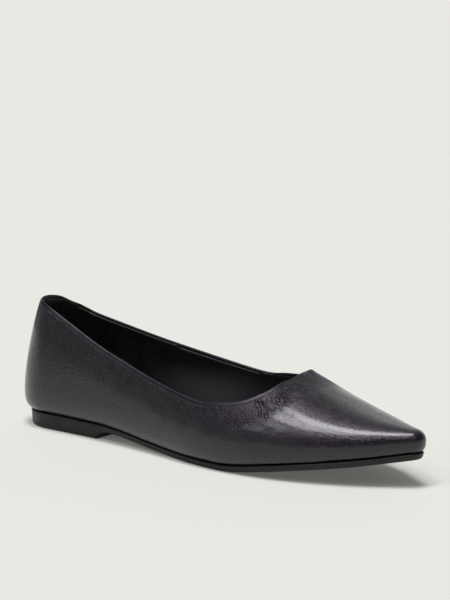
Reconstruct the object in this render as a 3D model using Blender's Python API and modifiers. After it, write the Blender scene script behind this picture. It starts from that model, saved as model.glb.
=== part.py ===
# Ballet flat, right shoe: a leather upper, a moulded outsole with its low heel, an insole
# and two plain studs at the back of the heel.
# Units are metres. +X runs from heel to toe, +Y to the inner side of the foot, +Z up.
# The floor is at z = 0, and the origin is the middle of the heel's flat underside.

import bpy
import bmesh
from math import asin, cos, pi, radians, sin, sqrt
from mathutils import Matrix, Vector

# Driving dimensions
LENGTH = 0.262
BALL_WIDTH = 0.082
BACK_HEIGHT = 0.073
THROAT_HEIGHT = 0.0505
HEEL_HEIGHT = 0.0092
HEEL_LENGTH = 0.064
HEEL_BREAST = 0.010
SOLE_THICKNESS = 0.0036
TOE_SPRING = 0.0159
THROAT_FROM_TOE = 0.079
THROAT_ROUND = 0.036
ORIGIN_FROM_BACK = 0.030

# Walls, margins and clearances
WALL = 0.0016
GAP = 0.0003
MARGIN = 0.009
MARGIN_SHARE_AT_TOE = 0.55
FOLD = 0.0024
INSOLE_THICKNESS = 0.0018
INSOLE_SIDE_GAP = 0.0005
SOLE_EDGE_DROP_IN = 0.0007
SOLE_EDGE_BEVEL = 0.0006

# Ends of the plan outline: the reach of the heel's round, the toe's radius, and how far each
# side has turned in where it meets the round of the toe
HEEL_ROUND = 0.028
TOE_RADIUS = 0.0085
TOE_TURN = radians(36)

# Places that follow from the sizes above, measured from the back of the heel
THROAT = LENGTH - THROAT_FROM_TOE
THROAT_START = THROAT - THROAT_ROUND
TOE_CENTRE = LENGTH - TOE_RADIUS

# Shape exponents
FOLD_SQUARENESS = 2.5
THROAT_SQUARENESS = 3.5
THROAT_CLUSTER = 2.2

# Studs
STUD_RADIUS = 0.0021
STUD_DOME = 0.0013
STUD_SPACING = 0.0065
STUD_BELOW_EDGE = 0.009

# How finely the shapes are cut
VAMP_STEPS = 11
THROAT_STEPS = 10
SIDE_STEPS = 11
HEEL_FAN_STEPS = 7
TOE_FAN_STEPS = 5
BREAST_STEPS = 6
BREAST_CLEAR = 0.003
STUD_SEGMENTS = 20
STUD_RINGS = 12
MERGE_DISTANCE = 0.00002
STEEPEST_SLANT = 0.5
FOLD_ROWS = 5
WALL_ROWS = 9
SOLE_CROSS_CUTS = 3

# Widest outline of the upper. Along is a share of LENGTH, the two widths of BALL_WIDTH.
OUTLINE = (
    # along, outer side, inner side
    (0.100, 0.336, 0.336),
    (0.220, 0.350, 0.330),
    (0.340, 0.384, 0.323),
    (0.450, 0.442, 0.348),
    (0.540, 0.500, 0.402),
    (0.620, 0.518, 0.457),
    (0.700, 0.500, 0.482),
    (0.770, 0.452, 0.451),
    (0.840, 0.368, 0.378),
    (0.900, 0.275, 0.284),
    (0.950, 0.166, 0.170),
    (
        (TOE_CENTRE + TOE_RADIUS * sin(TOE_TURN)) / LENGTH,
        TOE_RADIUS * cos(TOE_TURN) / BALL_WIDTH,
        TOE_RADIUS * cos(TOE_TURN) / BALL_WIDTH,
    ),
)

# How the side curves in to the sole and how high its widest line is. Shares of BALL_WIDTH.
SIDE = (
    # along, tuck under, widest above the seat
    (0.000, 0.050, 0.150),
    (0.220, 0.054, 0.150),
    (0.340, 0.060, 0.140),
    (0.450, 0.055, 0.135),
    (0.540, 0.044, 0.130),
    (0.620, 0.036, 0.125),
    (0.700, 0.028, 0.115),
    (0.770, 0.022, 0.105),
    (0.840, 0.018, 0.090),
    (0.900, 0.015, 0.080),
    (0.950, 0.012, 0.070),
    (1.000, 0.010, 0.065),
)

# The crest that the two sides would meet at. Height is a share of THROAT_HEIGHT, the others
# of BALL_WIDTH. Over the open part the crest only sets how the sides lean in.
CREST = (
    # along, height, half width left flat, offset to the inner side, roundness
    (0.000, 2.20, 0.030, 0.000, 1.50),
    (0.220, 2.00, 0.030, 0.000, 1.55),
    (0.400, 1.62, 0.020, 0.010, 1.70),
    (0.540, 1.32, 0.010, 0.025, 1.85),
    (0.640, 1.11, 0.000, 0.040, 1.95),
    (0.710, 0.99, 0.000, 0.045, 2.00),
    (0.770, 0.86, 0.000, 0.035, 2.00),
    (0.840, 0.745, 0.000, 0.020, 2.05),
    (0.900, 0.671, 0.000, 0.008, 2.10),
    (0.950, 0.628, 0.000, 0.000, 2.20),
    (1.000, 0.598, 0.000, 0.000, 2.30),
)

# How far the top of the sole lies over its thickness at the ball, where it is flat on the floor.
# The rear column is a share of what the heel adds, the front one of TOE_SPRING.
SEAT = (
    # along, rear, front
    (0.000, 0.886, 0.000),
    (0.100, 1.000, 0.000),
    (0.200, 0.967, 0.000),
    (0.270, 0.885, 0.000),
    (0.320, 0.704, 0.000),
    (0.380, 0.375, 0.000),
    (0.430, 0.179, 0.000),
    (0.480, 0.047, 0.000),
    (0.510, 0.000, 0.000),
    (0.610, 0.000, 0.000),
    (0.650, 0.000, 0.063),
    (0.710, 0.000, 0.213),
    (0.770, 0.000, 0.370),
    (0.860, 0.000, 0.595),
    (0.930, 0.000, 0.792),
    (1.000, 0.000, 1.000),
)

# Height of the topline over the floor. Heights are shares of BACK_HEIGHT.
TOPLINE = (
    # along, outer side, inner side
    (0.018, 1.000, 0.990),
    (0.040, 0.990, 0.936),
    (0.070, 0.980, 0.890),
    (0.107, 0.950, 0.850),
    (0.150, 0.885, 0.818),
    (0.200, 0.808, 0.785),
    (0.260, 0.724, 0.745),
    (0.320, 0.658, 0.712),
    (0.400, 0.575, 0.668),
    (0.470, 0.523, 0.625),
    (0.530, 0.490, 0.585),
    (0.573, 0.478, 0.565),
)

# Colours and finish, linear
BLACK_LEATHER = (0.012, 0.011, 0.013, 1.0)
BLACK_RUBBER = (0.016, 0.016, 0.017, 1.0)
BLACK_LINING = (0.010, 0.010, 0.011, 1.0)
GOLD = (0.62, 0.46, 0.20, 1.0)

OUTER = -1
INNER = 1


def clear_scene():
    for thing in list(bpy.data.objects):
        bpy.data.objects.remove(thing, do_unlink=True)


def eased(table, column, along):
    # A smooth curve through one column of a table, level with its end slopes at both ends
    last = len(table) - 1
    along = min(max(along, table[0][0]), table[last][0])
    row = 0
    while row < last - 1 and table[row + 1][0] < along:
        row += 1

    def slope(index):
        low = max(index - 1, 0)
        high = min(index + 1, last)
        return (table[high][column] - table[low][column]) / (table[high][0] - table[low][0])

    span = table[row + 1][0] - table[row][0]
    t = (along - table[row][0]) / span
    start = table[row][column]
    end = table[row + 1][column]
    rise = (2 * t - 3) * t * t
    return (
        start * (1 + rise)
        - end * rise
        + slope(row) * span * t * (1 - t) * (1 - t)
        - slope(row + 1) * span * t * t * (1 - t)
    )


def half_width(x, side):
    column = 1 if side == OUTER else 2
    return BALL_WIDTH * eased(OUTLINE, column, x / LENGTH)


def tuck(x):
    return BALL_WIDTH * eased(SIDE, 1, x / LENGTH)


def seat(x):
    rear = (HEEL_HEIGHT - SOLE_THICKNESS) * eased(SEAT, 1, x / LENGTH)
    front = TOE_SPRING * eased(SEAT, 2, x / LENGTH)
    return SOLE_THICKNESS + max(rear, 0.0) + max(front, 0.0)


def widest_height(x):
    return seat(x) + BALL_WIDTH * eased(SIDE, 2, x / LENGTH)


def crest_height(x):
    return THROAT_HEIGHT * eased(CREST, 1, x / LENGTH)


def crest_flat(x):
    return BALL_WIDTH * eased(CREST, 2, x / LENGTH)


def crest_offset(x):
    return BALL_WIDTH * eased(CREST, 3, x / LENGTH)


def roundness(x):
    return eased(CREST, 4, x / LENGTH)


def topline_height(x, side):
    column = 1 if side == OUTER else 2
    return BACK_HEIGHT * eased(TOPLINE, column, x / LENGTH)


class Column:
    # One upright section: a place on the widest outline and the point of the crest it aims at
    def __init__(self, kind, side, x, y, crest_x):
        self.kind = kind
        self.side = side
        self.x = x
        self.crest_x = crest_x
        self.place = Vector((x, y))
        aim = Vector((crest_x, crest_offset(crest_x)))
        self.reach = (aim - self.place).length
        self.inward = (aim - self.place).normalized()

    def at(self, inset, height):
        plan = self.place + self.inward * inset
        return Vector((plan.x - ORIGIN_FROM_BACK, plan.y, height))

    def x_at(self, inset):
        return (self.place + self.inward * inset).x


def heel_column(side, turn):
    # turn is 0 at the middle of the back and a quarter turn at the side
    x = HEEL_ROUND - HEEL_ROUND * cos(turn)
    y = side * half_width(HEEL_ROUND, side) * sin(turn)
    return Column("open", side, x, y, HEEL_ROUND)


def open_column(side, x):
    return Column("open", side, x, side * half_width(x, side), x)


def vamp_column(side, share):
    # share runs from the throat to the round of the toe, and the aim falls behind on the way
    x = THROAT + (TOE_CENTRE + TOE_RADIUS * sin(TOE_TURN) - THROAT) * share
    crest_x = THROAT + (TOE_CENTRE - THROAT) * share
    return Column("vamp", side, x, side * half_width(x, side), crest_x)


def toe_column(side, turn):
    # turn is measured from square across the shoe, and is a quarter turn at the tip
    x = TOE_CENTRE + TOE_RADIUS * sin(turn)
    y = side * TOE_RADIUS * cos(turn)
    return Column("vamp", side, x, y, TOE_CENTRE)


def side_columns(side):
    # From the middle of the back to the tip of the toe, along one side
    columns = [heel_column(side, 0.5 * pi * step / HEEL_FAN_STEPS) for step in range(HEEL_FAN_STEPS)]
    for step in range(SIDE_STEPS):
        x = HEEL_ROUND + (THROAT_START - HEEL_ROUND) * step / SIDE_STEPS
        columns.append(open_column(side, x))
    for step in range(THROAT_STEPS, 0, -1):
        share = (step / THROAT_STEPS) ** THROAT_CLUSTER
        columns.append(open_column(side, THROAT - (THROAT - THROAT_START) * share))
    for step in range(VAMP_STEPS):
        columns.append(vamp_column(side, step / VAMP_STEPS))
    for step in range(TOE_FAN_STEPS + 1):
        turn = TOE_TURN + (0.5 * pi - TOE_TURN) * step / TOE_FAN_STEPS
        columns.append(toe_column(side, turn))
    return columns


def wall_span(column):
    # Reach from the widest line to the crest, and the crest's height over the widest line
    reach = column.reach - crest_flat(column.crest_x)
    rise = crest_height(column.crest_x) - widest_height(column.x)
    return reach, rise


def angle_at_height(column, height):
    reach, rise = wall_span(column)
    share = (height - widest_height(column.x)) / rise
    return asin(share ** (roundness(column.x) / 2))


def top_angle(column):
    # Where the wall stops: the topline in the open part, the crest over the vamp and the toe
    if column.kind != "open":
        return 0.5 * pi
    if column.x <= THROAT_START:
        return angle_at_height(column, topline_height(column.x, column.side))
    start = open_column(column.side, THROAT_START)
    start_angle = angle_at_height(start, topline_height(THROAT_START, column.side))
    start_reach = wall_span(start)[0]
    widest_opening = start_reach * cos(start_angle) ** (2 / roundness(THROAT_START))
    share = (column.x - THROAT_START) / (THROAT - THROAT_START)
    opening = widest_opening * (1 - share ** THROAT_SQUARENESS) ** (1 / THROAT_SQUARENESS)
    reach = wall_span(column)[0]
    cosine = min(opening / reach, 1.0) ** (roundness(column.x) / 2)
    return 0.5 * pi - asin(cosine)


def fold_reach(x):
    return tuck(x) + FOLD


def margin_reach(column):
    # How far in from the widest outline the lasting margin ends
    x = column.x
    wanted = fold_reach(x) + MARGIN
    room = MARGIN_SHARE_AT_TOE * column.reach
    return min(wanted, max(room, fold_reach(x) + 2 * WALL))


def upper_profile(column):
    # Outer face from the inner edge of the margin, round the fold and up to the top
    x = column.x
    fold = fold_reach(x)
    margin = margin_reach(column)
    floor_x = column.x_at(fold)
    low = seat(floor_x) + GAP
    wide = widest_height(x)
    points = [column.at(margin, seat(column.x_at(margin)) + GAP)]
    points.append(column.at(0.5 * (margin + fold), seat(column.x_at(0.5 * (margin + fold))) + GAP))
    power = 2 / FOLD_SQUARENESS
    for row in range(FOLD_ROWS):
        turn = 0.5 * pi * (1 - row / FOLD_ROWS)
        inset = fold * (1 - cos(turn) ** power) if turn < 0.5 * pi else fold
        points.append(column.at(inset, wide - (wide - low) * sin(turn) ** power))
    reach, rise = wall_span(column)
    top = top_angle(column)
    power = 2 / roundness(x)
    for row in range(WALL_ROWS + 1):
        turn = top * row / WALL_ROWS
        kept = max(cos(turn), 0.0) ** power
        points.append(column.at(reach * (1 - kept), wide + rise * sin(turn) ** power))
    return points


def ring_of(outer_columns, inner_columns):
    # Once round the shoe: forward along the outer side, back along the inner side
    return outer_columns + inner_columns[-2:0:-1]


def add_strip(mesh, first, second, closed):
    count = len(first)
    last = count if closed else count - 1
    for index in range(last):
        following = (index + 1) % count
        corners = []
        for vertex in (first[index], first[following], second[following], second[index]):
            if vertex not in corners:
                corners.append(vertex)
        if len(corners) > 2:
            mesh.faces.new(corners)


def finish_object(name, mesh, collection, material):
    bmesh.ops.recalc_face_normals(mesh, faces=mesh.faces[:])
    data = bpy.data.meshes.new(name)
    mesh.to_mesh(data)
    mesh.free()
    thing = bpy.data.objects.new(name, data)
    thing.data.materials.append(material)
    collection.objects.link(thing)
    return thing


def build_upper(collection, material, outer_columns, inner_columns):
    mesh = bmesh.new()
    columns = ring_of(outer_columns, inner_columns)
    rows = [[mesh.verts.new(point) for point in upper_profile(column)] for column in columns]
    for index, column in enumerate(rows):
        following = rows[(index + 1) % len(rows)]
        add_strip(mesh, column, following, False)
    bmesh.ops.remove_doubles(mesh, verts=mesh.verts[:], dist=MERGE_DISTANCE)
    bmesh.ops.recalc_face_normals(mesh, faces=mesh.faces[:])
    upper = finish_object("upper", mesh, collection, material)
    shell = upper.modifiers.new("wall", "SOLIDIFY")
    shell.thickness = WALL
    shell.offset = -1.0
    shell.use_even_offset = True
    shell.use_quality_normals = True
    return upper


def plan_slant(columns, index):
    # Cosine between a column's way inwards and the true normal of the outline there
    before = columns[max(index - 1, 0)]
    after = columns[min(index + 1, len(columns) - 1)]
    along = (after.place - before.place).normalized()
    normal = Vector((-along.y, along.x))
    return max(abs(normal.dot(columns[index].inward)), STEEPEST_SLANT)


def sole_underside(x):
    # The heel stands on the floor, and its breast curves up to the arch
    thin = max(seat(x) - SOLE_THICKNESS, 0.0)
    if x <= HEEL_LENGTH:
        return 0.0
    share = (x - HEEL_LENGTH) / HEEL_BREAST
    if share >= 1:
        return thin
    return thin * sqrt(1 - (1 - share) ** 2)


def cap_between(mesh, outer_row, inner_row, cuts):
    # Fills a ring with strips that run straight across from one side to the other
    cross = []
    for low, high in zip(outer_row, inner_row):
        line = [low]
        if low is not high:
            for cut in range(1, cuts + 1):
                line.append(mesh.verts.new(low.co.lerp(high.co, cut / (cuts + 1))))
            line.append(high)
        cross.append(line)
    for first, second in zip(cross, cross[1:]):
        if len(first) == 1:
            first = first * len(second)
        if len(second) == 1:
            second = second * len(first)
        add_strip(mesh, first, second, False)


def build_plate(name, collection, material, outer_columns, inner_columns, rings, cuts):
    # A closed plate from rings that run from its top edge, round its side, to its underside
    # Each ring is a function of a column and its slant that gives an inset and a height
    mesh = bmesh.new()
    levels = []
    for ring in rings:
        sides = []
        for columns in (outer_columns, inner_columns):
            line = []
            for index, column in enumerate(columns):
                inset, height = ring(column, plan_slant(columns, index))
                line.append(mesh.verts.new(column.at(inset, height)))
            sides.append(line)
        for end in (0, -1):
            spare = sides[1][end]
            sides[1][end] = sides[0][end]
            mesh.verts.remove(spare)
        levels.append(sides)
    for upper_level, lower_level in zip(levels, levels[1:]):
        for side in (0, 1):
            add_strip(mesh, upper_level[side], lower_level[side], False)
    cap_between(mesh, levels[0][0], levels[0][1], cuts)
    cap_between(mesh, levels[-1][0], levels[-1][1], cuts)
    return finish_object(name, mesh, collection, material)


def plate_columns(side):
    # The same places as the upper, with more of them where the heel's breast rises
    columns = side_columns(side)
    breast = []
    for step in range(BREAST_STEPS + 1):
        share = step / BREAST_STEPS
        breast.append(open_column(side, HEEL_LENGTH + HEEL_BREAST * share * share))
    before = [column for column in columns if column.x <= HEEL_LENGTH - BREAST_CLEAR]
    after = [column for column in columns if column.x >= HEEL_LENGTH + HEEL_BREAST + BREAST_CLEAR]
    return before + breast + after


def build_outsole(collection, material, outer_columns, inner_columns):
    def top(column, slant):
        inset = (tuck(column.x) + SOLE_EDGE_BEVEL) / slant
        return inset, seat(column.x_at(inset))

    def upper_edge(column, slant):
        inset = tuck(column.x) / slant
        return inset, seat(column.x_at(inset)) - SOLE_EDGE_BEVEL

    def lower_edge(column, slant):
        inset = (tuck(column.x) + SOLE_EDGE_DROP_IN) / slant
        return inset, sole_underside(column.x_at(inset)) + SOLE_EDGE_BEVEL

    def bottom(column, slant):
        inset = (tuck(column.x) + SOLE_EDGE_DROP_IN + SOLE_EDGE_BEVEL) / slant
        return inset, sole_underside(column.x_at(inset))

    rings = (top, upper_edge, lower_edge, bottom)
    return build_plate(
        "outsole", collection, material, outer_columns, inner_columns, rings, SOLE_CROSS_CUTS
    )


def build_insole(collection, material, outer_columns, inner_columns):
    # The board lies on the margin, and its middle drops to fill the space inside the margin
    over_margin = 2 * GAP + WALL

    def edge_inset(column, slant):
        return fold_reach(column.x) / slant + INSOLE_SIDE_GAP

    def step_inset(column, slant):
        return margin_reach(column) + 2 * GAP / slant

    def top(column, slant):
        inset = edge_inset(column, slant)
        return inset, seat(column.x_at(inset)) + over_margin + INSOLE_THICKNESS

    def edge(column, slant):
        inset = edge_inset(column, slant)
        return inset, seat(column.x_at(inset)) + over_margin

    def step_high(column, slant):
        inset = step_inset(column, slant)
        return inset, seat(column.x_at(inset)) + over_margin

    def step_low(column, slant):
        inset = step_inset(column, slant)
        return inset, seat(column.x_at(inset)) + GAP

    rings = (top, edge, step_high, step_low)
    return build_plate(
        "insole", collection, material, outer_columns, inner_columns, rings, SOLE_CROSS_CUTS
    )


def build_stud(name, collection, material, back_column, below_edge):
    # A plain flattened dome, its flat face a gap off the back of the heel
    height = BACK_HEIGHT - below_edge
    turn = angle_at_height(back_column, height)
    reach, rise = wall_span(back_column)
    power = 2 / roundness(back_column.x)
    inset = reach * (1 - cos(turn) ** power)
    nearby = reach * (1 - cos(angle_at_height(back_column, height + STUD_RADIUS)) ** power)
    centre = back_column.at(inset, height)
    slope = Vector((nearby - inset, 0.0, STUD_RADIUS)).normalized()
    outwards = Vector((-slope.z, 0.0, slope.x))
    mesh = bmesh.new()
    bmesh.ops.create_uvsphere(mesh, u_segments=STUD_SEGMENTS, v_segments=STUD_RINGS, radius=STUD_RADIUS)
    flat = bmesh.ops.bisect_plane(
        mesh,
        geom=mesh.verts[:] + mesh.edges[:] + mesh.faces[:],
        plane_co=(0.0, 0.0, 0.0),
        plane_no=(0.0, 0.0, -1.0),
        clear_outer=True,
    )
    rim = [item for item in flat["geom_cut"] if isinstance(item, bmesh.types.BMEdge)]
    bmesh.ops.contextual_create(mesh, geom=rim)
    bmesh.ops.scale(mesh, vec=(1.0, 1.0, STUD_DOME / STUD_RADIUS), verts=mesh.verts[:])
    stud = finish_object(name, mesh, collection, material)
    facing = outwards.to_track_quat("Z", "X").to_matrix().to_4x4()
    stud.matrix_world = Matrix.Translation(centre + outwards * GAP) @ facing
    return stud


def make_material(name, colour, roughness, metallic):
    material = bpy.data.materials.new(name)
    material.use_nodes = True
    shader = material.node_tree.nodes["Principled BSDF"]
    shader.inputs["Base Color"].default_value = colour
    shader.inputs["Roughness"].default_value = roughness
    shader.inputs["Metallic"].default_value = metallic
    material.diffuse_color = colour
    return material


def build():
    clear_scene()
    collection = bpy.data.collections.new("ballet_flat")
    bpy.context.scene.collection.children.link(collection)
    leather = make_material("black_leather", BLACK_LEATHER, 0.34, 0.0)
    rubber = make_material("black_rubber", BLACK_RUBBER, 0.55, 0.0)
    sock = make_material("black_sock", BLACK_LINING, 0.45, 0.0)
    brass = make_material("gold_metal", GOLD, 0.22, 1.0)
    build_upper(collection, leather, side_columns(OUTER), side_columns(INNER))
    outer_columns = plate_columns(OUTER)
    inner_columns = plate_columns(INNER)
    build_outsole(collection, rubber, outer_columns, inner_columns)
    build_insole(collection, sock, side_columns(OUTER), side_columns(INNER))
    back = heel_column(OUTER, 0.0)
    build_stud("heel_stud_upper", collection, brass, back, STUD_BELOW_EDGE)
    build_stud("heel_stud_lower", collection, brass, back, STUD_BELOW_EDGE + STUD_SPACING)


build()
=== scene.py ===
from math import cos, exp, radians, sin

import bmesh
import bpy
from mathutils import Matrix, Vector, kdtree
from mathutils.bvhtree import BVHTree


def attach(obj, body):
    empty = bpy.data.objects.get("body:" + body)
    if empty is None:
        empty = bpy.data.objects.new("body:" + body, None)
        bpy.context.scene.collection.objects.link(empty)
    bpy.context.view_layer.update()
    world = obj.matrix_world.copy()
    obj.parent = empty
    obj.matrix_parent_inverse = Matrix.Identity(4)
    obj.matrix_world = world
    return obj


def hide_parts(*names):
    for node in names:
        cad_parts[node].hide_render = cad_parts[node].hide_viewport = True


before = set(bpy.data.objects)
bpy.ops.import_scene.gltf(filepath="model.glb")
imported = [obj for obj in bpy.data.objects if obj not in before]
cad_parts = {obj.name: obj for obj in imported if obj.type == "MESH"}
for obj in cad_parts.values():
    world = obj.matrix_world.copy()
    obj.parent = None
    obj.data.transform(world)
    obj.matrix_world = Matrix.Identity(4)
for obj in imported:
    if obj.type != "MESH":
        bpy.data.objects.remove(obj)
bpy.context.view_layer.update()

print("frame loaded")

# the view of the photograph, fitted to places read on the shoe's outline
viewSettings = {
    "turn": 35.0,
    "rise": 9.8,
    "roll": 1.41,
    "distance": 1.269,
    "focalPixels": 2302.0,
    "sensorWidth": 36.0,
    "imageSize": (450, 600),
    "target": (0.101, 0.0, 0.030),
    "targetPixel": (218.8, 396.8),
}


def placeCamera(settings):
    turn = radians(settings["turn"])
    rise = radians(settings["rise"])
    roll = radians(settings["roll"])
    right = Vector((cos(turn), sin(turn), 0.0))
    level = Vector((sin(turn), -cos(turn), 0.0))
    back = level * cos(rise) + Vector((0.0, 0.0, sin(rise)))
    up = Vector((0.0, 0.0, cos(rise))) - level * sin(rise)
    sideways = right * cos(roll) + up * sin(roll)
    upwards = up * cos(roll) - right * sin(roll)
    perPixel = settings["distance"] / settings["focalPixels"]
    across = (settings["targetPixel"][0] - settings["imageSize"][0] / 2) * perPixel
    above = (settings["imageSize"][1] / 2 - settings["targetPixel"][1]) * perPixel
    spot = Vector(settings["target"]) + back * settings["distance"] - sideways * across - upwards * above
    data = bpy.data.cameras.new("camera")
    data.sensor_width = settings["sensorWidth"]
    data.lens = settings["focalPixels"] * settings["sensorWidth"] / settings["imageSize"][1]
    camera = bpy.data.objects.new("camera", data)
    bpy.context.scene.collection.objects.link(camera)
    turned = Matrix((sideways, upwards, back)).transposed().to_4x4()
    camera.matrix_world = Matrix.Translation(spot) @ turned
    bpy.context.scene.camera = camera
    bpy.context.scene.view_settings.view_transform = "Standard"


placeCamera(viewSettings)
print("camera placed")


# small helpers for node trees
def addNode(tree, kind, inputs=None, **settings):
    node = tree.nodes.new(kind)
    for name, value in settings.items():
        setattr(node, name, value)
    for name, value in (inputs or {}).items():
        socket = node.inputs[name]
        if isinstance(value, bpy.types.NodeSocket):
            tree.links.new(value, socket)
        else:
            socket.default_value = value
    return node


def addMath(tree, operation, first, second=0.0, clamp=False):
    node = addNode(tree, "ShaderNodeMath", {0: first, 1: second}, operation=operation, use_clamp=clamp)
    return node.outputs[0]


def addInverse(tree, value):
    return addMath(tree, "SUBTRACT", 1.0, value)


def addRange(tree, value, fromLow, fromHigh, toLow=0.0, toHigh=1.0):
    inputs = {"Value": value, "From Min": fromLow, "From Max": fromHigh, "To Min": toLow, "To Max": toHigh}
    return addNode(tree, "ShaderNodeMapRange", inputs, interpolation_type="SMOOTHSTEP").outputs["Result"]


def addBlend(tree, amount, first, second):
    # sockets 6 and 7 take the two colours, and output 2 gives the colour
    return addNode(tree, "ShaderNodeMix", {0: amount, 6: first, 7: second}, data_type="RGBA").outputs[2]


def startGroup(name, inputs, outputs):
    tree = bpy.data.node_groups.new(name, "ShaderNodeTree")
    for title, kind in inputs:
        tree.interface.new_socket(name=title, in_out="INPUT", socket_type=kind)
    for title, kind in outputs:
        tree.interface.new_socket(name=title, in_out="OUTPUT", socket_type=kind)
    return tree, tree.nodes.new("NodeGroupInput"), tree.nodes.new("NodeGroupOutput")


def useGroup(tree, group, inputs):
    return addNode(tree, "ShaderNodeGroup", inputs, node_tree=group)


def startMaterial(name):
    material = bpy.data.materials.new(name)
    material.use_nodes = True
    tree = material.node_tree
    shader = tree.nodes["Principled BSDF"]
    place = tree.nodes.new("ShaderNodeTexCoord").outputs["Object"]
    return material, tree, shader, place


# pebbled skin: round cells, finer pores and a broad unevenness
grainSettings = {
    "cellDepth": -0.7,
    "looseness": 0.9,
    "poresPerCell": 1.9,
    "poreDepth": 0.8,
    "broadScale": 95.0,
    "mottleRange": (0.35, 0.68),
}


def makeGrainGroup(settings):
    inputs = (("Vector", "NodeSocketVector"), ("Cell Size", "NodeSocketFloat"),
              ("Unevenness", "NodeSocketFloat"))
    outputs = (("Height", "NodeSocketFloat"), ("Mottle", "NodeSocketFloat"))
    tree, start, end = startGroup("leatherGrain", inputs, outputs)
    scale = addMath(tree, "DIVIDE", 1.0, start.outputs["Cell Size"])
    cells = addNode(tree, "ShaderNodeTexVoronoi",
                    {"Vector": start.outputs["Vector"], "Scale": scale, "Randomness": settings["looseness"]},
                    feature="SMOOTH_F1")
    fineScale = addMath(tree, "MULTIPLY", scale, settings["poresPerCell"])
    pores = addNode(tree, "ShaderNodeTexNoise",
                    {"Vector": start.outputs["Vector"], "Scale": fineScale, "Detail": 3.0})
    broad = addNode(tree, "ShaderNodeTexNoise",
                    {"Vector": start.outputs["Vector"], "Scale": settings["broadScale"], "Detail": 4.0,
                     "Roughness": 0.6})
    raised = addMath(tree, "MULTIPLY", cells.outputs["Distance"], settings["cellDepth"])
    poreHeight = addMath(tree, "MULTIPLY", pores.outputs["Fac"], settings["poreDepth"])
    together = addMath(tree, "ADD", raised, poreHeight)
    swell = addMath(tree, "MULTIPLY", broad.outputs["Fac"], start.outputs["Unevenness"])
    tree.links.new(addMath(tree, "ADD", together, swell), end.inputs["Height"])
    mottle = addRange(tree, broad.outputs["Fac"], *settings["mottleRange"])
    tree.links.new(mottle, end.inputs["Mottle"])
    return tree


# short fine creases that run down from the topline, in patches, by metres along and below the rim
crinkleSettings = {
    "spacing": 0.0013,
    "twist": 0.12,
    "lineWidth": 0.07,
    "patchScale": (85.0, 60.0),
    "patchRange": (0.44, 0.58, 0.05, 1.0),
    "startsBelow": (0.0012, 0.0026),
    "fadesFrom": 0.004,
}


def makeCrinkleGroup(settings):
    inputs = (("Place", "NodeSocketVector"), ("Reach", "NodeSocketFloat"), ("Length", "NodeSocketFloat"))
    outputs = (("Height", "NodeSocketFloat"), ("Mask", "NodeSocketFloat"))
    tree, start, end = startGroup("rimCrinkle", inputs, outputs)
    parts = addNode(tree, "ShaderNodeSeparateXYZ", {"Vector": start.outputs["Place"]})
    along, below = parts.outputs["X"], parts.outputs["Y"]
    longWay = addMath(tree, "DIVIDE", below, start.outputs["Length"])
    acrossWay = addMath(tree, "DIVIDE", along, settings["spacing"])
    stretched = addNode(tree, "ShaderNodeCombineXYZ", {"X": acrossWay, "Y": longWay})
    lines = addNode(tree, "ShaderNodeTexNoise",
                    {"Vector": stretched.outputs["Vector"], "Scale": 1.0, "Detail": 1.0,
                     "Distortion": settings["twist"]})
    ridge = addMath(tree, "ABSOLUTE", addMath(tree, "SUBTRACT", lines.outputs["Fac"], 0.5))
    sharp = addRange(tree, ridge, 0.0, settings["lineWidth"])
    patchAlong = addMath(tree, "MULTIPLY", along, settings["patchScale"][0])
    patchBelow = addMath(tree, "MULTIPLY", below, settings["patchScale"][1])
    patchPlace = addNode(tree, "ShaderNodeCombineXYZ", {"X": patchAlong, "Y": patchBelow})
    patches = addNode(tree, "ShaderNodeTexNoise",
                      {"Vector": patchPlace.outputs["Vector"], "Scale": 1.0, "Detail": 2.0})
    patchy = addRange(tree, patches.outputs["Fac"], *settings["patchRange"])
    fading = addInverse(tree, addRange(tree, below, settings["fadesFrom"], start.outputs["Reach"]))
    clear = addRange(tree, below, *settings["startsBelow"])
    mask = addMath(tree, "MULTIPLY", addMath(tree, "MULTIPLY", fading, clear), patchy)
    trough = addMath(tree, "SUBTRACT", sharp, 1.0)
    tree.links.new(addMath(tree, "MULTIPLY", trough, mask), end.inputs["Height"])
    tree.links.new(mask, end.inputs["Mask"])
    return tree


# dust and fine rubbing, used for colour and gloss on every finish
wearSettings = {
    "broadRange": (0.3, 0.7),
    "speckScale": 2600.0,
    "speckRange": (0.60, 0.74),
}


def makeWearGroup(settings):
    inputs = (("Vector", "NodeSocketVector"), ("Scale", "NodeSocketFloat"))
    outputs = (("Broad", "NodeSocketFloat"), ("Specks", "NodeSocketFloat"))
    tree, start, end = startGroup("fineWear", inputs, outputs)
    broad = addNode(tree, "ShaderNodeTexNoise",
                    {"Vector": start.outputs["Vector"], "Scale": start.outputs["Scale"], "Detail": 5.0})
    specks = addNode(tree, "ShaderNodeTexNoise",
                     {"Vector": start.outputs["Vector"], "Scale": settings["speckScale"], "Detail": 1.0})
    tree.links.new(addRange(tree, broad.outputs["Fac"], *settings["broadRange"]), end.inputs["Broad"])
    tree.links.new(addRange(tree, specks.outputs["Fac"], *settings["speckRange"]), end.inputs["Specks"])
    return tree


leatherGrain = makeGrainGroup(grainSettings)
rimCrinkle = makeCrinkleGroup(crinkleSettings)
fineWear = makeWearGroup(wearSettings)


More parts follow.
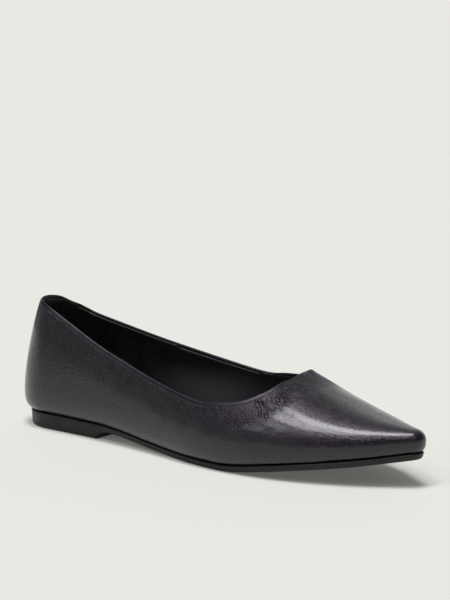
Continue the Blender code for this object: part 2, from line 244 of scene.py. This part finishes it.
# the upper's glossy black leather, with lengths in metres
upperLook = {
    "black": (0.0016, 0.0006, 0.0036, 1.0),
    "litAndRubbed": (0.008, 0.006, 0.011, 1.0),
    "grain": {"Cell Size": 0.00105, "Unevenness": 0.15},
    "crinkle": {"Reach": 0.021, "Length": 0.0065},
    "wearScale": 70.0,
    # the pressed line below the folded edge, and a painted highlight, a paler colour, along the top of that
    # edge
    "pressedBelow": 0.0016,
    "pressedHalf": 0.00045,
    "edgeHighlightBand": (0.0002, 0.0012),
    "edgeHighlight": 0.75,
    "broadRub": 0.30,
    # the back seam lies behind this place, and fades out over this distance from the middle
    "seamBehind": -0.018,
    "seamFades": (0.0001, 0.0006),
    # roughness, and what the mottled and crinkled places add to it
    "gloss": 0.24,
    "dull": 0.40,
    "mottleDull": 0.55,
    "crinkleDull": 0.45,
    "wornZone": (0.011, 0.019),
    "wornDull": 0.16,
    "shine": 0.55,
    "sheenTint": (0.99, 0.90, 1.0, 1.0),
    "coat": 0.38,
    "coatRoughness": 0.15,
    # the grain starts below the smooth rim
    "smoothRim": (0.0006, 0.0020),
    "grainBump": {"Strength": 0.9, "Distance": 0.00032},
    "crinkleBump": {"Strength": 1.0, "Distance": 0.00110},
    "lineBump": {"Strength": 0.8, "Distance": 0.00030},
    "pressedDepth": 0.7,
}


def makeUpperLeather(look):
    material, tree, shader, place = startMaterial("blackLeather")
    rimPlace = addNode(tree, "ShaderNodeAttribute", attribute_name="rimPlace").outputs["Vector"]
    below = addNode(tree, "ShaderNodeSeparateXYZ", {"Vector": rimPlace}).outputs["Y"]
    grain = useGroup(tree, leatherGrain, {"Vector": place, **look["grain"]})
    crinkle = useGroup(tree, rimCrinkle, {"Place": rimPlace, **look["crinkle"]})
    wear = useGroup(tree, fineWear, {"Vector": place, "Scale": look["wearScale"]})
    pressed = addMath(tree, "ABSOLUTE", addMath(tree, "SUBTRACT", below, look["pressedBelow"]))
    groove = addMath(tree, "SUBTRACT", addRange(tree, pressed, 0.0, look["pressedHalf"]), 1.0)
    # painted highlight: a paler colour in a thin band along the top of the folded edge
    edge = addInverse(tree, addRange(tree, below, *look["edgeHighlightBand"]))
    # one fine groove up the middle of the heel
    spot = addNode(tree, "ShaderNodeSeparateXYZ", {"Vector": place})
    offCentre = addMath(tree, "ABSOLUTE", spot.outputs["Y"])
    atBack = addMath(tree, "LESS_THAN", spot.outputs["X"], look["seamBehind"])
    seamLine = addInverse(tree, addRange(tree, offCentre, *look["seamFades"]))
    seam = addMath(tree, "MULTIPLY", seamLine, atBack)
    # the paler colour is a painted highlight on the edge and random rubbed tone elsewhere
    edgeHighlightAndWear = addMath(tree, "MAXIMUM", addMath(tree, "MULTIPLY", edge, look["edgeHighlight"]),
                           addMath(tree, "MULTIPLY", wear.outputs["Broad"], look["broadRub"]))
    colour = addBlend(tree, edgeHighlightAndWear, look["black"], look["litAndRubbed"])
    tree.links.new(colour, shader.inputs["Base Color"])
    dullness = addMath(tree, "ADD", addMath(tree, "MULTIPLY", grain.outputs["Mottle"], look["mottleDull"]),
                       addMath(tree, "MULTIPLY", crinkle.outputs["Mask"], look["crinkleDull"]), clamp=True)
    evenRough = addRange(tree, dullness, 0.0, 1.0, look["gloss"], look["dull"])
    # the worn, crinkled zone below the topline shines less
    worn = addInverse(tree, addRange(tree, below, *look["wornZone"]))
    rough = addMath(tree, "ADD", evenRough, addMath(tree, "MULTIPLY", worn, look["wornDull"]))
    tree.links.new(rough, shader.inputs["Roughness"])
    coat = addMath(tree, "MULTIPLY", addInverse(tree, worn), look["coat"])
    tree.links.new(coat, shader.inputs["Coat Weight"])
    shader.inputs["Specular IOR Level"].default_value = look["shine"]
    shader.inputs["Specular Tint"].default_value = look["sheenTint"]
    shader.inputs["Coat Roughness"].default_value = look["coatRoughness"]
    pastRim = addRange(tree, below, *look["smoothRim"])
    grainHeight = addMath(tree, "MULTIPLY", grain.outputs["Height"], pastRim)
    grainBump = addNode(tree, "ShaderNodeBump", {"Height": grainHeight, **look["grainBump"]})
    crinkleBump = addNode(tree, "ShaderNodeBump",
                          {"Height": crinkle.outputs["Height"], "Normal": grainBump.outputs["Normal"],
                           **look["crinkleBump"]})
    lines = addMath(tree, "SUBTRACT", addMath(tree, "MULTIPLY", groove, look["pressedDepth"]), seam)
    lineBump = addNode(tree, "ShaderNodeBump",
                       {"Height": lines, "Normal": crinkleBump.outputs["Normal"], **look["lineBump"]})
    tree.links.new(lineBump.outputs["Normal"], shader.inputs["Normal"])
    return material


# the lining, with painted light: paler along the middle and low down, where light reaches into the shoe, and
# darker towards the heel and the throat
liningLook = {
    "black": (0.0035, 0.0030, 0.0040, 1.0),
    "litAndRubbed": (0.095, 0.090, 0.102, 1.0),
    "fromHeel": (0.020, 0.085),
    "fromToe": (0.128, 0.088),
    "fromTop": (0.044, 0.026),
    "glowAmount": 0.85,
    "broadRub": 0.06,
    "roughness": (0.46, 0.58),
    "grain": {"Cell Size": 0.0009, "Unevenness": 1.0},
    "wearScale": 45.0,
    "bump": {"Strength": 0.35, "Distance": 0.00008},
}


def makeLiningLeather(look):
    material, tree, shader, place = startMaterial("liningLeather")
    grain = useGroup(tree, leatherGrain, {"Vector": place, **look["grain"]})
    wear = useGroup(tree, fineWear, {"Vector": place, "Scale": look["wearScale"]})
    spot = addNode(tree, "ShaderNodeSeparateXYZ", {"Vector": place})
    # painted light: a paler patch along the middle of the length and low down, where light reaches the inner
    # wall
    middle = addMath(tree, "MULTIPLY", addRange(tree, spot.outputs["X"], *look["fromHeel"]),
                     addRange(tree, spot.outputs["X"], *look["fromToe"]))
    low = addRange(tree, spot.outputs["Z"], *look["fromTop"])
    paintedGlowHere = addMath(tree, "MULTIPLY", addMath(tree, "MULTIPLY", middle, low), look["glowAmount"])
    broadRub = addMath(tree, "MULTIPLY", wear.outputs["Broad"], look["broadRub"])
    # painted glow plus random rubbed tone
    patchy = addMath(tree, "ADD", paintedGlowHere, broadRub, clamp=True)
    colour = addBlend(tree, patchy, look["black"], look["litAndRubbed"])
    tree.links.new(colour, shader.inputs["Base Color"])
    rough = addRange(tree, grain.outputs["Mottle"], 0.0, 1.0, *look["roughness"])
    tree.links.new(rough, shader.inputs["Roughness"])
    bump = addNode(tree, "ShaderNodeBump", {"Height": grain.outputs["Height"], **look["bump"]})
    tree.links.new(bump.outputs["Normal"], shader.inputs["Normal"])
    return material


sockLook = {
    "black": (0.010, 0.0096, 0.0105, 1.0),
    "pressed": (0.022, 0.021, 0.023, 1.0),
    "pressAmount": 0.6,
    "roughness": (0.40, 0.52),
    "grain": {"Cell Size": 0.0010, "Unevenness": 1.4},
    "wearScale": 38.0,
    "bump": {"Strength": 0.4, "Distance": 0.00008},
}


def makeSockMaterial(look):
    material, tree, shader, place = startMaterial("sockLining")
    grain = useGroup(tree, leatherGrain, {"Vector": place, **look["grain"]})
    wear = useGroup(tree, fineWear, {"Vector": place, "Scale": look["wearScale"]})
    pressed = addMath(tree, "MULTIPLY", wear.outputs["Broad"], look["pressAmount"])
    colour = addBlend(tree, pressed, look["black"], look["pressed"])
    tree.links.new(colour, shader.inputs["Base Color"])
    rough = addRange(tree, wear.outputs["Broad"], 0.0, 1.0, *look["roughness"])
    tree.links.new(rough, shader.inputs["Roughness"])
    bump = addNode(tree, "ShaderNodeBump", {"Height": grain.outputs["Height"], **look["bump"]})
    tree.links.new(bump.outputs["Normal"], shader.inputs["Normal"])
    return material


soleLook = {
    "black": (0.0050, 0.0046, 0.0058, 1.0),
    "dusty": (0.016, 0.015, 0.017, 1.0),
    "dustAmount": 0.45,
    "roughness": (0.40, 0.55),
    "shine": 0.35,
    # how far down a face looks before it has ribs, and how the ribs lie
    "underneath": (-0.8, -0.95),
    "ribSlant": radians(38),
    "ribs": {"Scale": 130.0, "Distortion": 0.15, "Detail": 1.0},
    # the line where the heel's top piece meets the heel, behind the breast
    "topPiece": 0.0026,
    "jointHalf": 0.0003,
    "heelEnds": 0.04,
    "grain": {"Cell Size": 0.0006, "Unevenness": 0.4},
    "wearScale": 120.0,
    "fineBump": {"Strength": 0.4, "Distance": 0.00006},
    "coarseBump": {"Strength": 0.8, "Distance": 0.0003},
}


def makeSoleRubber(look):
    material, tree, shader, place = startMaterial("soleRubber")
    wear = useGroup(tree, fineWear, {"Vector": place, "Scale": look["wearScale"]})
    grain = useGroup(tree, leatherGrain, {"Vector": place, **look["grain"]})
    # fine slanted ribs on the tread, only on what faces the floor
    facing = addNode(tree, "ShaderNodeSeparateXYZ",
                     {"Vector": addNode(tree, "ShaderNodeNewGeometry").outputs["Normal"]})
    underneath = addRange(tree, facing.outputs["Z"], *look["underneath"])
    slanted = addNode(tree, "ShaderNodeMapping", {"Vector": place, "Rotation": (0.0, 0.0, look["ribSlant"])})
    ribs = addNode(tree, "ShaderNodeTexWave", {"Vector": slanted.outputs["Vector"], **look["ribs"]})
    ribHeight = addMath(tree, "MULTIPLY", ribs.outputs["Fac"], underneath)
    spot = addNode(tree, "ShaderNodeSeparateXYZ", {"Vector": place})
    offLine = addMath(tree, "ABSOLUTE", addMath(tree, "SUBTRACT", spot.outputs["Z"], look["topPiece"]))
    atHeel = addMath(tree, "LESS_THAN", spot.outputs["X"], look["heelEnds"])
    onLine = addInverse(tree, addRange(tree, offLine, 0.0, look["jointHalf"]))
    joint = addMath(tree, "MULTIPLY", onLine, atHeel)
    dusty = addMath(tree, "MULTIPLY", wear.outputs["Broad"], look["dustAmount"])
    tree.links.new(addBlend(tree, dusty, look["black"], look["dusty"]), shader.inputs["Base Color"])
    rough = addRange(tree, wear.outputs["Broad"], 0.0, 1.0, *look["roughness"])
    tree.links.new(rough, shader.inputs["Roughness"])
    shader.inputs["Specular IOR Level"].default_value = look["shine"]
    fine = addNode(tree, "ShaderNodeBump", {"Height": grain.outputs["Height"], **look["fineBump"]})
    coarse = addNode(tree, "ShaderNodeBump",
                     {"Height": addMath(tree, "SUBTRACT", ribHeight, joint),
                      "Normal": fine.outputs["Normal"], **look["coarseBump"]})
    tree.links.new(coarse.outputs["Normal"], shader.inputs["Normal"])
    return material


studLook = {
    "gold": (0.78, 0.57, 0.27, 1.0),
    "shaded": (0.50, 0.34, 0.15, 1.0),
    "shadeAmount": 0.5,
    "roughness": (0.16, 0.30),
    "wearScale": 500.0,
    "bump": {"Strength": 0.15, "Distance": 0.00003},
}


def makeStudMetal(look):
    material, tree, shader, place = startMaterial("goldMetal")
    wear = useGroup(tree, fineWear, {"Vector": place, "Scale": look["wearScale"]})
    shaded = addMath(tree, "MULTIPLY", wear.outputs["Broad"], look["shadeAmount"])
    tree.links.new(addBlend(tree, shaded, look["gold"], look["shaded"]), shader.inputs["Base Color"])
    rough = addRange(tree, wear.outputs["Broad"], 0.0, 1.0, *look["roughness"])
    tree.links.new(rough, shader.inputs["Roughness"])
    shader.inputs["Metallic"].default_value = 1.0
    bump = addNode(tree, "ShaderNodeBump", {"Height": wear.outputs["Specks"], **look["bump"]})
    tree.links.new(bump.outputs["Normal"], shader.inputs["Normal"])
    return material


blackLeather = makeUpperLeather(upperLook)
liningLeather = makeLiningLeather(liningLook)
sockLining = makeSockMaterial(sockLook)
soleRubber = makeSoleRubber(soleLook)
goldMetal = makeStudMetal(studLook)
print("materials made")


# meshes from the CAD nodes
mergeSettings = {
    "distance": 0.00001,
    "flatness": radians(35),
    "squareness": radians(70),
}


def mergedMesh(nodeName):
    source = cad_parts[nodeName]
    bm = bmesh.new()
    bm.from_mesh(source.data)
    bm.transform(source.matrix_world)
    bmesh.ops.remove_doubles(bm, verts=bm.verts, dist=mergeSettings["distance"])
    bmesh.ops.join_triangles(bm, faces=bm.faces, cmp_seam=False, cmp_sharp=False, cmp_uvs=False,
                             cmp_vcols=False, cmp_materials=False,
                             angle_face_threshold=mergeSettings["flatness"],
                             angle_shape_threshold=mergeSettings["squareness"])
    return bm


def addPiece(name, bm, material, smoothAngle=None):
    mesh = bpy.data.meshes.new(name)
    bm.to_mesh(mesh)
    bm.free()
    for face in mesh.polygons:
        face.use_smooth = True
    if smoothAngle is not None:
        mesh.set_sharp_from_angle(angle=radians(smoothAngle))
    mesh.materials.clear()
    mesh.materials.append(material)
    piece = bpy.data.objects.new(name, mesh)
    bpy.context.scene.collection.objects.link(piece)
    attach(piece, "root")
    return piece


# the upper: one shell with an even fine mesh, and its creases set in
upperSettings = {
    # how often the mesh is divided and pulled back, and the furthest that a point is pulled
    "levels": 2,
    "keepRounds": 2,
    "furthest": 0.0004,
    # where the mesh is evened out along the shoe, and what is held still: a band at the rim, and the margin
    "evenZone": (0.112, 0.205),
    "evenRounds": 60,
    "heldRim": 0.0021,
    "heldMargin": 0.0125,
    "softRim": 0.0028,
    # what lies nearer the typed line than this counts as on the rim
    "atRim": 0.0006,
    # no crease goes further below the rim, and a crease sinks towards this line inside the shoe
    "creaseEnd": 0.03,
    "innerLine": (0.0, 0.200, 0.024),
    # how many half widths a crease spreads, and the shares over which it starts and fades
    "creaseSpread": 3.0,
    "creaseStart": 0.3,
    "creaseFade": 0.5,
    "curveSteps": 40,
    # places that are smoothed more: centre, reach, rounds
    "softPlaces": (
        ((0.1515, -0.030, 0.034), 0.017, 12),
        ((0.1515, 0.024, 0.036), 0.017, 12),
        ((0.1560, 0.000, 0.047), 0.016, 8),
        ((0.2235, 0.000, 0.034), 0.011, 12),
    ),
    # places that are eased over: centre, reach, shift
    "eased": (
        ((-0.0168, 0.0130, 0.0715), 0.010, (0.0000, 0.0000, -0.0013)),
        ((0.1535, -0.0060, 0.0500), 0.011, (0.0010, 0.0000, -0.0009)),
        ((0.1600, 0.0060, 0.0490), 0.009, (0.0000, 0.0000, -0.0006)),
        ((0.1528, 0.0125, 0.0502), 0.006, (0.0000, 0.0000, 0.0008)),
    ),
    # soft troughs and ridges: share of the rim from the back seam, first and last
    # distance below the rim, half width, depth into the leather
    "creases": (
        (0.292, 0.003, 0.016, 0.0036, 0.00022),
        (0.312, 0.004, 0.024, 0.0034, 0.00034),
        (0.327, 0.003, 0.020, 0.0030, -0.00018),
        (0.342, 0.004, 0.026, 0.0034, 0.00036),
        (0.359, 0.003, 0.018, 0.0030, -0.00016),
        (0.374, 0.003, 0.020, 0.0032, 0.00026),
        (0.396, 0.003, 0.015, 0.0030, 0.00018),
        (0.618, 0.003, 0.018, 0.0034, 0.00026),
        (0.646, 0.004, 0.024, 0.0034, 0.00034),
        (0.668, 0.003, 0.018, 0.0030, -0.00015),
        (0.690, 0.004, 0.020, 0.0034, 0.00025),
    ),
    # the topline's outer edge in mm, from the back seam round the outer side
    "topline": (
        (-21.2, 0.0, 73.0), (-19.3, -8.2, 73.0), (-14.2, -15.1, 72.3), (-6.4, -19.2, 70.9),
        (8.8, -21.4, 64.8), (30.5, -23.9, 55.7), (52.1, -26.4, 48.5), (73.7, -29.6, 42.2),
        (95.4, -33.6, 37.8), (112.0, -36.5, 35.5), (124.4, -36.3, 36.2), (136.6, -34.0, 38.0),
        (145.2, -29.4, 41.3), (150.5, -21.5, 45.6), (152.8, -11.0, 49.2), (153.0, 0.0, 50.9),
        (152.8, 12.2, 50.1), (150.5, 20.8, 47.4), (145.2, 25.2, 45.4), (136.6, 27.7, 43.8),
        (124.4, 28.4, 42.9), (106.2, 26.5, 43.2), (84.5, 23.3, 47.1), (62.9, 22.1, 50.6),
        (41.3, 22.3, 53.9), (19.6, 22.3, 57.8), (-2.0, 21.8, 62.1), (-11.2, 18.8, 66.2),
        (-17.4, 12.1, 70.8),
    ),
}


class Rim:
    # a smooth closed line along the topline, to find how far round and how far below a place is
    def __init__(self, points, curveSteps):
        self.steps = []
        travelled = 0.0
        before = None
        count = len(points)
        for number in range(count):
            a, b, c, d = (Vector(points[(number + shift) % count]) * 0.001 for shift in (-1, 0, 1, 2))
            for step in range(curveSteps):
                s = step / curveSteps
                here = 0.5 * (2 * b + (c - a) * s + (2 * a - 5 * b + 4 * c - d) * s ** 2
                              + (3 * b - a - 3 * c + d) * s ** 3)
                if before is not None:
                    travelled += (here - before).length
                before = here
                self.steps.append((here, travelled))
        self.length = travelled
        self.tree = kdtree.KDTree(len(self.steps))
        for number, (point, _) in enumerate(self.steps):
            self.tree.insert(point, number)
        self.tree.balance()

    def find(self, place):
        point, number, away = self.tree.find(place)
        return point, self.steps[number][1], away


rim = Rim(upperSettings["topline"], upperSettings["curveSteps"])


def evenOut(bm, settings):
    # spreads the crowded points beside the throat evenly over the same surface
    surface = BVHTree.FromBMesh(bm)
    low, high = settings["evenZone"]
    free = [vert for vert in bm.verts
            if low < vert.co.x < high and vert.co.z > settings["heldMargin"]
            and rim.find(vert.co)[2] > settings["heldRim"]]
    for _ in range(settings["evenRounds"]):
        bmesh.ops.smooth_vert(bm, verts=free, factor=0.5, use_axis_x=True, use_axis_y=True, use_axis_z=True)
        for vert in free:
            vert.co = surface.find_nearest(vert.co)[0]


def refineMesh(piece, settings):
    # finer, pulled back through the points it came from
    finer = piece.modifiers.new("finer", "SUBSURF")
    finer.levels = settings["levels"]
    finer.render_levels = settings["levels"]
    wanted = [vert.co.copy() for vert in piece.data.vertices]
    moved = [Vector() for _ in wanted]
    for _ in range(settings["keepRounds"]):
        bpy.context.view_layer.update()
        shown = piece.evaluated_get(bpy.context.evaluated_depsgraph_get())
        for number, target in enumerate(wanted):
            moved[number] += target - shown.data.vertices[number].co
            if moved[number].length > settings["furthest"]:
                moved[number] = moved[number].normalized() * settings["furthest"]
            piece.data.vertices[number].co = target + moved[number]
        piece.data.update()
    bpy.context.view_layer.update()
    shown = piece.evaluated_get(bpy.context.evaluated_depsgraph_get())
    bm = bmesh.new()
    bm.from_mesh(shown.data)
    for centre, reach, shift in settings["eased"]:
        for vert in bm.verts:
            share = 1.0 - (vert.co - Vector(centre)).length / reach
            if share > 0.0:
                vert.co += Vector(shift) * share * share * (3 - 2 * share)
    for centre, reach, rounds in settings["softPlaces"]:
        centre = Vector(centre)
        soft = [vert for vert in bm.verts
                if (vert.co - centre).length < reach and rim.find(vert.co)[2] > settings["softRim"]]
        for _ in range(rounds):
            bmesh.ops.smooth_vert(bm, verts=soft, factor=0.5,
                                  use_axis_x=True, use_axis_y=True, use_axis_z=True)
    return bm


def rimPlaces(mesh, settings):
    # along the rim from the back seam, and distance below it, kept on the mesh for the materials
    values = []
    for vert in mesh.vertices:
        _, along, away = rim.find(vert.co)
        values.extend((along, max(0.0, away - settings["atRim"]), 0.0))
    attribute = mesh.attributes.new("rimPlace", "FLOAT_VECTOR", "POINT")
    attribute.data.foreach_set("vector", values)
    return values


def setCreases(mesh, values, settings):
    normals = [vert.normal.copy() for vert in mesh.vertices]
    lineStart, lineEnd, lineHeight = settings["innerLine"]
    for number, vert in enumerate(mesh.vertices):
        along, below = values[3 * number], values[3 * number + 1]
        if below > settings["creaseEnd"]:
            continue
        sink = 0.0
        for share, first, last, half, depth in settings["creases"]:
            across = (along - share * rim.length) / half
            if abs(across) > settings["creaseSpread"]:
                continue
            rising = min(1.0, max(0.0, (below - first * settings["creaseStart"]) / first))
            falling = min(1.0, max(0.0, (last - below) / (last * settings["creaseFade"])))
            sink += depth * exp(-across * across) * rising * (3 - 2 * falling) * falling * falling
        axis = Vector((min(max(vert.co.x, lineStart), lineEnd), 0.0, lineHeight))
        outwards = 1.0 if normals[number].dot(vert.co - axis) > 0.0 else -1.0
        vert.co -= normals[number] * sink * outwards


def buildUpper(settings):
    bm = mergedMesh("upper")
    evenOut(bm, settings)
    rough = addPiece("roughUpper", bm, blackLeather)
    bm = refineMesh(rough, settings)
    bpy.data.objects.remove(rough)
    piece = addPiece("upperShell", bm, blackLeather)
    values = rimPlaces(piece.data, settings)
    print("upper faces", len(piece.data.polygons), "rim length", round(rim.length, 4))
    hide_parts("upper")
    return piece, values


upperShell, upperPlaces = buildUpper(upperSettings)
print("upper built")


# the lining: the wall's inner side, raised a little and ending below the folded edge
liningSettings = {
    "edgeBelow": 0.0022,
    # how far it stands off the wall, less so low down, and the heights between which that changes
    "proud": 0.00040,
    "proudAtFloor": 0.00010,
    "heights": (0.014, 0.034),
    # faces that turn towards this line are the inner side, and those that look up low down are the margin
    "innerLine": (-0.005, 0.205, 0.024),
    "turned": 0.12,
    "marginUp": 0.45,
    "marginTop": 0.024,
    "cutEdgeLowest": 0.028,
    # how far the cut edge turns back, as a multiple of proud
    "turnBack": 1.5,
}


def buildLining(settings):
    bm = bmesh.new()
    bm.from_mesh(upperShell.data)
    away = []
    lineStart, lineEnd, lineHeight = settings["innerLine"]
    for face in bm.faces:
        centre = face.calc_center_median()
        axis = Vector((min(max(centre.x, lineStart), lineEnd), 0.0, lineHeight))
        inwards = (axis - centre).normalized()
        isMargin = face.normal.z > settings["marginUp"] and centre.z < settings["marginTop"]
        nearRim = rim.find(centre)[2] < settings["edgeBelow"]
        if face.normal.dot(inwards) < settings["turned"] or nearRim or isMargin:
            away.append(face)
    bmesh.ops.delete(bm, geom=away, context="FACES")
    bm.normal_update()
    edgeVerts = set()
    for vert in bm.verts:
        if not vert.is_boundary or vert.co.z < settings["cutEdgeLowest"]:
            continue
        point, _, distance = rim.find(vert.co)
        if distance < settings["edgeBelow"] * 2:
            vert.co = point + (vert.co - point).normalized() * settings["edgeBelow"]
            edgeVerts.add(vert)
    lowest, highest = settings["heights"]
    gained = settings["proud"] - settings["proudAtFloor"]
    for vert in bm.verts:
        height = min(1.0, max(0.0, (vert.co.z - lowest) / (highest - lowest)))
        vert.co += vert.normal * (settings["proudAtFloor"] + gained * height)
    # the cut edge turns back to the wall
    cut = [edge for edge in bm.edges if edge.is_boundary and all(vert in edgeVerts for vert in edge.verts)]
    turned = bmesh.ops.extrude_edge_only(bm, edges=cut)
    fresh = [item for item in turned["geom"] if isinstance(item, bmesh.types.BMVert)]
    for vert in fresh:
        partner = [edge.other_vert(vert) for edge in vert.link_edges if edge.other_vert(vert) in edgeVerts]
        vert.co -= partner[0].normal * settings["proud"] * settings["turnBack"]
    piece = addPiece("liningWall", bm, liningLeather)
    print("lining faces", len(piece.data.polygons), "cut edges", len(cut))


buildLining(liningSettings)
setCreases(upperShell.data, upperPlaces, upperSettings)
print("lining built, creases set")


# the sock lining and the sole are their own solids with softened edges
plateSettings = {
    "insole": {"name": "sockPad", "slot": "sock_lining", "bevel": 0.0004, "segments": 3, "angle": 40,
               "smoothAngle": 32},
    "outsole": {"name": "soleAndHeel", "slot": "sole_rubber", "bevel": 0.00045, "segments": 3, "angle": 32,
                "smoothAngle": 32},
}


def buildPlate(nodeName, settings, material):
    bm = mergedMesh(nodeName)
    sharp = [edge for edge in bm.edges
             if len(edge.link_faces) == 2 and edge.calc_face_angle(0.0) > radians(settings["angle"])]
    bmesh.ops.bevel(bm, geom=sharp, offset=settings["bevel"], offset_type="OFFSET", affect="EDGES",
                    segments=settings["segments"], profile=0.5, material=-1, clamp_overlap=True)
    piece = addPiece(settings["name"], bm, material, settings["smoothAngle"])
    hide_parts(nodeName)


buildPlate("insole", plateSettings["insole"], sockLining)
buildPlate("outsole", plateSettings["outsole"], soleRubber)
print("sole and sock built")


# the two gold studs on the back seam
studSettings = {
    # radius and height along the stud's axis, from the top of the dome to the foot
    "profile": ((0.0, 1.0), (0.30, 0.97), (0.55, 0.86), (0.74, 0.66), (0.80, 0.42), (0.80, 0.34),
                (0.97, 0.28), (1.0, 0.16), (0.98, 0.0)),
    "steps": 36,
    "merge": 0.000001,
    "smoothAngle": 50,
}


def buildStud(nodeName, settings):
    source = mergedMesh(nodeName)
    axis = Vector((0.0, 0.0, 0.0))
    for face in source.faces:
        if face.normal.x < 0.0:
            axis += face.normal * face.calc_area()
    axis.normalize()
    heights = [vert.co.dot(axis) for vert in source.verts]
    low, high = min(heights), max(heights)
    centre = sum((vert.co for vert in source.verts), Vector()) / len(source.verts)
    centre -= axis * (centre.dot(axis) - low)
    radius = max((vert.co - centre - axis * (vert.co - centre).dot(axis)).length for vert in source.verts)
    source.free()
    bm = bmesh.new()
    verts = [bm.verts.new((share * radius, 0.0, height * (high - low)))
             for share, height in settings["profile"]]
    edges = [bm.edges.new(pair) for pair in zip(verts, verts[1:])]
    bmesh.ops.spin(bm, geom=verts + edges, cent=(0, 0, 0), axis=(0, 0, 1), angle=radians(360),
                   steps=settings["steps"], use_merge=True)
    bmesh.ops.remove_doubles(bm, verts=bm.verts, dist=settings["merge"])
    foot = [edge for edge in bm.edges if edge.is_boundary]
    bmesh.ops.edgeloop_fill(bm, edges=foot)
    bmesh.ops.recalc_face_normals(bm, faces=bm.faces)
    bm.transform(Matrix.Translation(centre) @ axis.to_track_quat("Z", "Y").to_matrix().to_4x4())
    pieceName = nodeName.replace("heel_", "").replace("_", "") + "Cap"
    piece = addPiece(pieceName, bm, goldMetal, settings["smoothAngle"])
    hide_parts(nodeName)


buildStud("heel_stud_upper", studSettings)
buildStud("heel_stud_lower", studSettings)
print("studs built")


# the floor and the studio light
stageSettings = {
    "floorHalf": 30.0,
    # what the floor gives off by itself, so that the shadow stays pale
    "floorGlow": 0.100,
    "floorColour": (0.695, 0.689, 0.655, 1.0),
    # a faint mottle on the floor
    "paperScale": 900.0,
    "paperAmount": 0.03,
    "paperPaler": 1.01,
    "floorRoughness": 0.9,
    # direction towards the light, angle across and strength
    "softboxes": {
        "keyLow": ((-0.32, -0.82, 0.48), 14.0, 0.18),
        "keyRear": ((-0.21, -0.68, 0.70), 13.0, 0.20),
        "keyMiddle": ((-0.09, -0.42, 0.90), 17.0, 0.85),
        "keyFront": ((0.03, -0.13, 0.99), 19.0, 1.80),
        "overhead": ((-0.05, -0.15, 1.0), 95.0, 0.10),
    },
    # the backdrop's strength behind the shoe, in front of it, and what the horizon adds
    "worldBack": 0.82,
    "worldFront": 0.07,
    "worldHorizon": 0.11,
    # where the backdrop is brightest, how it fades away from there, and how high the horizon's glow reaches
    "backDirection": (-0.45, 0.88, 0.15),
    "backSpread": (0.69, 1.0),
    "horizonSpan": (0.30, 0.03),
    "worldColour": (1.0, 0.985, 0.99, 1.0),
}


def addSun(name, direction, angle, strength):
    data = bpy.data.lights.new(name, "SUN")
    data.angle = radians(angle)
    data.energy = strength
    sun = bpy.data.objects.new(name, data)
    bpy.context.scene.collection.objects.link(sun)
    sun.rotation_euler = Vector(direction).to_track_quat("Z", "Y").to_euler()


def buildStage(settings):
    bm = bmesh.new()
    bmesh.ops.create_grid(bm, x_segments=2, y_segments=2, size=settings["floorHalf"])
    mesh = bpy.data.meshes.new("floor")
    bm.to_mesh(mesh)
    bm.free()
    floor = bpy.data.objects.new("floor", mesh)
    bpy.context.scene.collection.objects.link(floor)
    material, tree, shader, place = startMaterial("paleFloor")
    paper = addNode(tree, "ShaderNodeTexNoise",
                    {"Vector": place, "Scale": settings["paperScale"], "Detail": 2.0})
    tone = addMath(tree, "MULTIPLY", paper.outputs["Fac"], settings["paperAmount"])
    paler = tuple(value * settings["paperPaler"] for value in settings["floorColour"][:3]) + (1.0,)
    tree.links.new(addBlend(tree, tone, settings["floorColour"], paler), shader.inputs["Base Color"])
    shader.inputs["Roughness"].default_value = settings["floorRoughness"]
    shader.inputs["Specular IOR Level"].default_value = 0.0
    shader.inputs["Emission Color"].default_value = settings["floorColour"]
    shader.inputs["Emission Strength"].default_value = settings["floorGlow"] / settings["floorColour"][0]
    mesh.materials.append(material)
    for name, (direction, angle, strength) in settings["softboxes"].items():
        addSun(name, direction, angle, strength)
    world = bpy.data.worlds.new("studio")
    bpy.context.scene.world = world
    world.use_nodes = True
    tree = world.node_tree
    direction = tree.nodes.new("ShaderNodeTexCoord").outputs["Generated"]
    towards = addNode(tree, "ShaderNodeVectorMath", {0: direction, 1: settings["backDirection"]},
                      operation="DOT_PRODUCT").outputs["Value"]
    backlit = addRange(tree, towards, *settings["backSpread"], settings["worldFront"], settings["worldBack"])
    height = addNode(tree, "ShaderNodeSeparateXYZ", {"Vector": direction}).outputs["Z"]
    nearHorizon = addRange(tree, height, *settings["horizonSpan"], 0.0, settings["worldHorizon"])
    strength = addMath(tree, "ADD", backlit, nearHorizon)
    backdrop = tree.nodes["Background"]
    backdrop.inputs["Color"].default_value = settings["worldColour"]
    tree.links.new(strength, backdrop.inputs["Strength"])


buildStage(stageSettings)
print("stage built")
